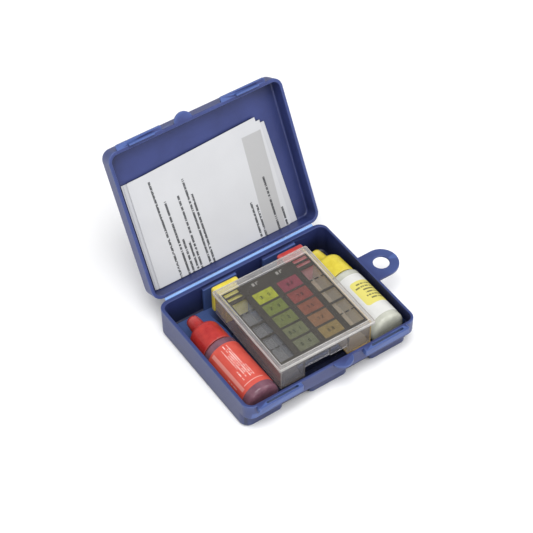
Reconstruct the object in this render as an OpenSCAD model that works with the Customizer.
// Pocket water test kit: a shallow hinged case that holds a two-cell colour
// comparator, two reagent dropper bottles and two folded instruction sheets.
// Millimetres. +Z is up, X runs across the case, -Y is the opening side and
// +Y is the hinge side. Origin: middle of the case footprint, on its underside.

/* [Case] */
// Outside width of the case
case_width = 150; // [130:1:170]
// Outside depth of the case, without latch ledges and hinge
case_depth = 120.3; // [110:0.1:130]
// Height of the tray half, underside to rim
tray_h = 27; // [25:0.5:40]
// Depth of the lid half
lid_h = 14.2; // [12:0.1:25]
// Outside corner radius of both halves
corner_r = 8; // [6:0.5:12]
// Floor thickness of the tray
floor_t = 1.8; // [1.2:0.1:3]
// Lid opening angle in the position shown
lid_open = 117.05; // [0:0.05:180]
// Hanging hole diameter in the side lug
hang_d = 12.7; // [6:0.1:16]

/* [Comparator] */
// Width of the comparator window plate
plate_width = 84.6; // [80:0.1:84.6]
// Length of the comparator window plate
plate_length = 89; // [85:0.5:89]
// Width of each sample cell, outside
cell_width = 21.6; // [18:0.1:21.6]
// Skew of the loose comparator block in the tray
block_skew = 0.9; // [0:0.1:1]
// Overall size factor of the comparator block
block_scale = 0.989; // [0.96:0.001:0.989]

/* [Reagent bottles] */
// Outside radius of each bottle
bottle_r = 14.1; // [12:0.1:14.1]
// Wall thickness of each bottle
bottle_t = 0.9; // [0.6:0.1:1.4]
// Clearance between cap bore and neck thread crests
thread_gap = 0.06; // [0.02:0.01:0.1]

/* [Hidden] */

// ------------------------------------------------------------- helpers
// x, y and z are [low, high] spans

module rounded_rect(x, y, r) {
  translate([x[0] + r, y[0]]) square([x[1] - x[0] - 2 * r, y[1] - y[0]]);
  translate([x[0], y[0] + r]) square([x[1] - x[0], y[1] - y[0] - 2 * r]);
  for (cx = [x[0] + r, x[1] - r], cy = [y[0] + r, y[1] - r])
    translate([cx, cy]) circle(r = r, $fn = 64);
}

module slab(z) {
  translate([0, 0, z[0]]) linear_extrude(height = z[1] - z[0]) children();
}

module box(x, y, z) {
  translate([x[0], y[0], z[0]]) cube([x[1] - x[0], y[1] - y[0], z[1] - z[0]]);
}

// ---------------------------------------------------------------- tray
right = case_width / 2;
left = -right;
back = case_depth / 2;
front = -back;
lip_t = 2;
ledge_front = front - 3.75;

// the lower body and its pocket blocks stop short of the upper band
shelf_z = 14;
lower_front = -52.6;
pocket_front = -55.5;
pocket_wall = 1.8;
pocket_r = 5;
pocket_bore_r = pocket_r - pocket_wall;
left_pocket_x = [-62, -40];
pocket_x = [[-19, 17], [35, 70]];
right_corner_w = 20;

cavity_x = [left + 2.6, right - 2];
cavity_back = back - 3.35;
cavity_r = 5.8;

lug_x = right + 11.75;
lug_r = 13.67;

// underside of the comparator: height in the tray, and in its own frame
block_z = 11;
body_bottom = floor_t + 0.05;

module tray_outside() {
  // upper band with the full footprint
  slab([shelf_z, tray_h]) rounded_rect([left, right], [front, back], corner_r);
  // lower body, with a tighter right front corner
  slab([0, shelf_z]) {
    rounded_rect([left, right], [lower_front, back], corner_r);
    rounded_rect([right - right_corner_w, right], [lower_front, 0], 5.5);
  }
  // three pocket blocks, the left one running into the case corner
  slab([0, shelf_z]) {
    rounded_rect([left, -45], [pocket_front, 0], corner_r);
    rounded_rect(left_pocket_x, [pocket_front, 0], pocket_r);
  }
  for (x = pocket_x)
    slab([0, shelf_z]) rounded_rect(x, [pocket_front, 0], pocket_r);
  // latch ledges
  for (x = [[-67, -29.3], [25.5, 65]])
    box(x, [ledge_front, front + 1], [tray_h - 5.5, tray_h]);
  // thumb lip
  translate([7.5, -58.1, tray_h - lip_t]) cylinder(r = 8.8, h = lip_t, $fn = 96);
  // hanging lug
  translate([lug_x, 0, tray_h - lip_t]) cylinder(r = lug_r, h = lip_t, $fn = 96);
  box([right - 1, lug_x], [-lug_r, lug_r], [tray_h - lip_t, tray_h]);
}

module tray_cavity() {
  bore_y = [pocket_front + pocket_wall, 0];
  body_y = lower_front + pocket_wall;
  // upper part, over the front shelf
  slab([shelf_z + 1.6, tray_h + 1])
    rounded_rect(cavity_x, [front + 2.25, cavity_back], cavity_r);
  // lower part with its pockets
  slab([floor_t, tray_h + 1]) {
    rounded_rect(cavity_x, [body_y, cavity_back], cavity_r);
    rounded_rect([cavity_x[1] - right_corner_w, cavity_x[1]], [body_y, 0], pocket_bore_r);
    rounded_rect([cavity_x[0], -48], bore_y, cavity_r);
    rounded_rect([left_pocket_x[0], left_pocket_x[1] - pocket_wall], bore_y, pocket_bore_r);
    for (x = pocket_x)
      rounded_rect([x[0] + pocket_wall, x[1] - pocket_wall], bore_y, pocket_bore_r);
  }
}

module tray_shell() {
  difference() {
    union() tray_outside();
    tray_cavity();
    // latch slots
    for (x = [[-59.7, -32.5], [32.2, 60.7]])
      box(x, [front - 2.15, front], [tray_h - 6, tray_h + 1]);
    // hanging hole
    translate([lug_x, 0, tray_h - 3]) cylinder(d = hang_d, h = 4, $fn = 96);
  }
}

module tray_supports() {
  // pads on the back wall, behind the stoppers
  for (x = [[-38, -8], [16, 46]]) box(x, [54, 57.5], [1, 24.5]);
  // cross ribs on the floor that carry the comparator
  for (y = [-38, 22])
    box([-34, 38], [y, y + 1.8], [1, block_z + body_bottom * block_scale - 0.05]);
}

module base_tray() {
  tray_blue = [0.10, 0.16, 0.42];
  color(tray_blue) tray_shell();
  color(tray_blue) tray_supports();
}

// ------------------------------------------------------- lid and hinge
lid_z = tray_h + 0.2;
hinge_x = [-67, 66.5];
hinge_y = back + 1.01;
hinge_z = tray_h + 0.13;

// turns children from the closed position to the open one
module on_lid() {
  translate([0, hinge_y, hinge_z]) rotate([-lid_open, 0, 0])
    translate([0, -hinge_y, -hinge_z]) children();
}

module lid_closed() {
  difference() {
    union() {
      slab([lid_z, lid_z + lid_h]) rounded_rect([left, right], [front, back], corner_r);
      // ledges over the tray's latch ledges
      for (x = [[-66, -28], [23, 62]])
        box(x, [ledge_front, front + 1], [lid_z, lid_z + 2.2]);
      // thumb lip
      translate([-9.9, -58.6, lid_z]) cylinder(r = 7.9, h = lip_t, $fn = 96);
    }
    slab([lid_z - 1, lid_z + lid_h - 1.8])
      rounded_rect([left + 2.4, right - 2.4], [front + 2.75, back - 2.55], 5.6);
  }
  // snap tongues, each with a small bead
  for (x = [[-57, -35.5], [35, 55]]) {
    box(x, [front - 1.75, front - 0.3], [lid_z - 3.2, lid_z + 1]);
    translate([x[0] + 1, front - 1.7, lid_z - 2.2]) rotate([0, 90, 0])
      cylinder(r = 0.3, h = x[1] - x[0] - 2, $fn = 24);
  }
  // lid side of the hinge web
  box(hinge_x, [back - 1, hinge_y - 0.48], [lid_z, lid_z + 0.45]);
}

module lid() {
  color([0.12, 0.20, 0.50]) on_lid() lid_closed();
}

module living_hinge() {
  color([0.20, 0.32, 0.66]) {
    box(hinge_x, [back + 0.02, hinge_y], [tray_h - 0.55, tray_h]);
    translate([hinge_x[0], hinge_y, hinge_z]) rotate([0, 90, 0])
      cylinder(r = 0.44, h = hinge_x[1] - hinge_x[0], $fn = 32);
  }
}

// ------------------------------------------------------------ leaflets
// outlines as [x, y] with the lid closed
front_outline = [[-63.5, -31.2], [49.8, -35.2], [53.3, 57.1], [-64, 55.4]];
back_outline = [[-67.3, -30.8], [57.3, -29.0], [60.4, 43.7], [60.9, 56.9], [-66.6, 56.4]];

// two leaves, joined by the fold left uncut along the hinge side
module folded_sheet(outline, z) {
  on_lid() difference() {
    slab([z, z + 0.6]) polygon(outline);
    box([-70, 70], [-50, 54], [z + 0.22, z + 0.38]);
  }
}

module leaflet_front() {
  color([0.93, 0.93, 0.94]) folded_sheet(front_outline, 37.3);
}

module leaflet_back() {
  color([0.86, 0.86, 0.87]) folded_sheet(back_outline, 38.1);
}

// ---------------------------------------------------------- comparator
// block frame: x and y from the middle of the plate's nominal length
block_at = [1.92, -6.61, block_z];
plate_x = plate_width / 2;
plate_y = plate_length / 2;
plate_top = 26.5;
cell_back = plate_y + 2; // back edge of the plate and the cells
body_x = plate_x - 2.1;
body_y = plate_y - 1.8;
body_top = 23.5;
cell_wall = 1.6;
cell_inner = body_x - cell_width; // side of each cell nearest the middle
cell_bore_z = [body_bottom + cell_wall, body_top - cell_wall];

card_x = 38.1;
card_y = 40.2;
card_z = 24.5;
card_gap = 0.2;

// five colour chips in each of two columns
chlorine_x = -19.3;
ph_x = 2.7;
chip_w = 17;
row_pitch = 13.4;
row_h = 11.4;
row_top = 27.6; // back edge of the first row

// sealing lands of the stoppers, then all sight openings: [low y, high y]
lands = [[36.0, 39.2], [31.2, 34.2]];
sights = concat(lands, [[2.8, 27.6], [-10.6, 0.8], [-37.4, -12.6]]);
sight_w = 12.2;

module in_block() {
  translate(block_at) rotate([0, 0, -block_skew])
    scale([block_scale, block_scale, block_scale]) children();
}

module both_cells() {
  for (flip = [1, 0]) mirror([flip, 0, 0]) children();
}

// openings of chip column x, each shrunk by inset on all sides
module chip_column(x, z, inset = 0) {
  for (i = [0:4]) {
    y = row_top - i * row_pitch;
    box([x + inset, x + chip_w - inset], [y - row_h + inset, y - inset], z);
  }
}

module comparator_body() {
  color([0.82, 0.86, 0.90, 0.45]) in_block() difference() {
    union() {
      both_cells() slab([body_bottom, body_top])
        rounded_rect([cell_inner, body_x], [-body_y, cell_back], 1);
      // middle box, raised off the floor and deeper on the right
      box([-cell_inner - 1, cell_inner + 1], [-body_y, body_y], [13, body_top]);
      box([3, cell_inner + 1], [-body_y, body_y], [11.5, body_top]);
    }
    // two sample cells, open at the back
    both_cells() box([cell_inner + cell_wall, body_x - cell_wall],
      [-body_y + cell_wall, cell_back + 1], cell_bore_z);
    // underside of the middle box, split by a rib
    for (x = [[-cell_inner, 2.2], [3.8, cell_inner]])
      box(x, [-body_y + 1.6, body_y - 1.6], [5, body_top - 1.8]);
    // shallow sight recesses in the front face of each cell
    for (x = [-36.1, 23.9])
      box([x, x + sight_w], [-body_y - 1, -body_y + 0.6], [body_bottom + 1.2, 14]);
  }
}

module comparator_window() {
  pocket_x = card_x + card_gap;
  pocket_y = card_y + card_gap;
  color([0.88, 0.92, 0.95, 0.35]) in_block() difference() {
    slab([body_top + 0.02, plate_top])
      rounded_rect([-plate_x, plate_x], [-plate_y, cell_back], 1.2);
    // pocket for the card stack, open below
    box([-pocket_x, pocket_x], [-pocket_y, pocket_y], [body_top - 1, 24.92]);
  }
}

module mask_card() {
  cut_z = [card_z - 1, card_z + 1];
  color([0.22, 0.20, 0.17]) in_block() difference() {
    box([-card_x, card_x], [-card_y, card_y], [card_z, card_z + 0.35]);
    for (x = [chlorine_x, ph_x]) chip_column(x, cut_z);
    for (x = [-36.9, 24.7], y = sights) box([x, x + sight_w], y, cut_z);
  }
}

module chips(x) {
  in_block() chip_column(x, [card_z - 0.2, card_z + 0.3], inset = 0.02);
}

module chlorine_standards() {
  color([0.62, 0.66, 0.20]) chips(chlorine_x);
}

module ph_standards() {
  color([0.60, 0.26, 0.24]) chips(ph_x);
}

module backing_film() {
  color([0.92, 0.92, 0.90]) in_block()
    box([-21.5, 21.9], [-card_y, 30], [body_top + 0.05, card_z - 0.22]);
}

// block that fills a cell bore, less gap on its four long sides;
// cell_x is the cell's low x
module bore_block(cell_x, y, gap) {
  inset = cell_wall + gap;
  box([cell_x + inset, cell_x + cell_width - inset], y,
    [cell_bore_z[0] + gap, cell_bore_z[1] - gap]);
}

// rectangular stopper: head, core and two sealing lands
module cell_cap(cell_x) {
  in_block() difference() {
    union() {
      translate([0, cell_back + 3.7, 0]) rotate([90, 0, 0]) slab([0, 3.6])
        rounded_rect([cell_x - 0.5, cell_x + cell_width + 0.5],
          [body_bottom + 0.15, plate_top], 1.5);
      bore_block(cell_x, [lands[1][0], cell_back + 0.5], 0.6);
      for (y = lands) bore_block(cell_x, y, 0.05);
    }
    // hollow from the back, with a finger edge all round
    bore_block(cell_x, [32.8, cell_back + 4], 2.0);
  }
}

module chlorine_cell_cap() {
  color([0.90, 0.78, 0.16]) cell_cap(-body_x);
}

module ph_cell_cap() {
  color([0.84, 0.20, 0.18]) cell_cap(cell_inner);
}

// ------------------------------------------------------------- bottles
// bottle frame: z = 0 is the bottle's flat end, +z runs to the tip;
// half outlines are [radius, z]
neck_r = 9.6;
thread_r = 10.8;
plug_r = 8;
plug_z = 62;
foot_r = 2.8;
shoulder_r = 3.4;
body_length = 54.3;
neck_top = 71.5;
bore_start = 5;
label_r = bottle_r + 0.12;

cap_start = 58.5;
cap_side_top = 75.2;
cap_top_r = 12.6;
cap_round = 5;
tip_z = 92;
tip_r = 5.1;
tip_round = 2.5;

// flat end of each bottle in plan, and the small turn both lie at
red_at = [-55.78, -52.6];
yellow_at = [57.08, -50.5];
bottle_z = floor_t + label_r + 0.03;
bottle_turn = 0.7;

module on_bottle(at) {
  translate([at[0], at[1], bottle_z]) rotate([0, 0, bottle_turn])
    rotate([-90, 0, 0]) children();
}

// half outline of a round flask; its straight side ends at z1
module flask(r, z0, z1, foot, shoulder) {
  translate([0, z0 + foot]) square([r, z1 - z0 - foot]);
  translate([0, z0]) square([r - foot, z1 - z0]);
  translate([r - foot, z0 + foot]) circle(r = foot, $fn = 64);
  translate([r - shoulder, z1]) circle(r = shoulder, $fn = 64);
  translate([0, z1 - 1]) square([r - shoulder, shoulder + 1]);
}

// inside of the bottle body, shrunk by gap
module flask_inside(gap = 0) {
  flask(bottle_r - bottle_t - gap, bottle_t + gap, body_length,
    foot_r - bottle_t, shoulder_r - bottle_t);
}

module bottle() {
  rotate_extrude($fn = 128) difference() {
    union() {
      flask(bottle_r, 0, body_length, foot_r, shoulder_r);
      // neck with three thread rings
      square([neck_r, neck_top]);
      for (z = [60.5, 64, 67.5]) translate([0, z]) square([thread_r, 1.2]);
    }
    flask_inside();
    translate([0, bore_start]) square([plug_r, 80]);
  }
}

// liquid in the lower side of the bottle, up to the nozzle plug;
// level is the height of its surface above the bottle axis
module reagent(level) {
  intersection() {
    rotate_extrude($fn = 128) {
      flask_inside(gap = 0.02);
      translate([0, bore_start]) square([plug_r - 0.02, plug_z - 0.1 - bore_start]);
    }
    translate([-15, -level, -1]) cube([30, 30, 80]);
  }
}

// plug, flange and tapered dropper tip with a fine drop hole
module dropper_nozzle() {
  rotate_extrude($fn = 96)
    polygon([[0.5, plug_z], [plug_r - 0.03, plug_z], [plug_r - 0.03, neck_top + 0.02],
      [neck_r, neck_top + 0.02], [neck_r, neck_top + 1.2], [4.2, neck_top + 1.2],
      [1.5, 90.5], [0.5, 90.5]]);
}

module cap_liner() {
  translate([0, 0, neck_top + 1.25]) difference() {
    cylinder(r = 10.4, h = 1.2, $fn = 96);
    translate([0, 0, -1]) cylinder(r = 4.8, h = 4, $fn = 96);
  }
}

module screw_cap() {
  rotate_extrude($fn = 128) difference() {
    union() {
      // skirt and rounded shoulder
      polygon([[0, cap_start], [13, cap_start], [cap_top_r, cap_side_top], [0, cap_side_top]]);
      translate([cap_top_r - cap_round, cap_side_top]) intersection() {
        circle(r = cap_round, $fn = 96);
        square([6, 6]);
      }
      translate([0, 75]) square([cap_top_r - cap_round, 5.2]);
      // tapered tip with a rounded end
      polygon([[0, 80], [6.3, 80], [tip_r, tip_z], [0, tip_z]]);
      translate([tip_r - tip_round, tip_z]) intersection() {
        circle(r = tip_round, $fn = 64);
        square([3, 3]);
      }
      translate([0, tip_z - 1]) square([tip_r - tip_round, tip_round + 1]);
    }
    // neck bore, then the hollow round the nozzle
    translate([0, cap_start - 1]) square([thread_r + thread_gap, 74 - cap_start + 1]);
    polygon([[0, 73.9], [6, 73.9], [6, 76], [4, 78], [2.6, 92.6], [0, 92.6]]);
  }
}

module label(start) {
  translate([0, 0, start]) difference() {
    cylinder(r = label_r, h = 51.2 - start, $fn = 128);
    translate([0, 0, -1]) cylinder(r = bottle_r + 0.02, h = 60, $fn = 128);
  }
}

module red_bottle() { color([0.62, 0.44, 0.50, 0.8]) on_bottle(red_at) bottle(); }
module red_reagent() { color([0.42, 0.08, 0.12]) on_bottle(red_at) reagent(level = 3); }
module red_dropper_nozzle() { color([0.90, 0.90, 0.88]) on_bottle(red_at) dropper_nozzle(); }
module red_cap() { color([0.80, 0.16, 0.15]) on_bottle(red_at) screw_cap(); }
module red_cap_liner() { color([0.93, 0.93, 0.91]) on_bottle(red_at) cap_liner(); }
module red_label() { color([0.88, 0.33, 0.27]) on_bottle(red_at) label(start = 8); }

module yellow_bottle() { color([0.78, 0.79, 0.72, 0.8]) on_bottle(yellow_at) bottle(); }
module yellow_reagent() { color([0.80, 0.78, 0.55]) on_bottle(yellow_at) reagent(level = 4); }
module yellow_dropper_nozzle() { color([0.90, 0.90, 0.88]) on_bottle(yellow_at) dropper_nozzle(); }
module yellow_cap() { color([0.92, 0.85, 0.20]) on_bottle(yellow_at) screw_cap(); }
module yellow_cap_liner() { color([0.93, 0.93, 0.91]) on_bottle(yellow_at) cap_liner(); }
module yellow_label() { color([0.95, 0.94, 0.88]) on_bottle(yellow_at) label(start = 7.2); }

base_tray();
lid();
living_hinge();
comparator_body();
comparator_window();
mask_card();
chlorine_standards();
ph_standards();
backing_film();
chlorine_cell_cap();
ph_cell_cap();
red_bottle();
red_reagent();
red_dropper_nozzle();
red_cap();
red_cap_liner();
red_label();
yellow_bottle();
yellow_reagent();
yellow_dropper_nozzle();
yellow_cap();
yellow_cap_liner();
yellow_label();
leaflet_front();
leaflet_back();
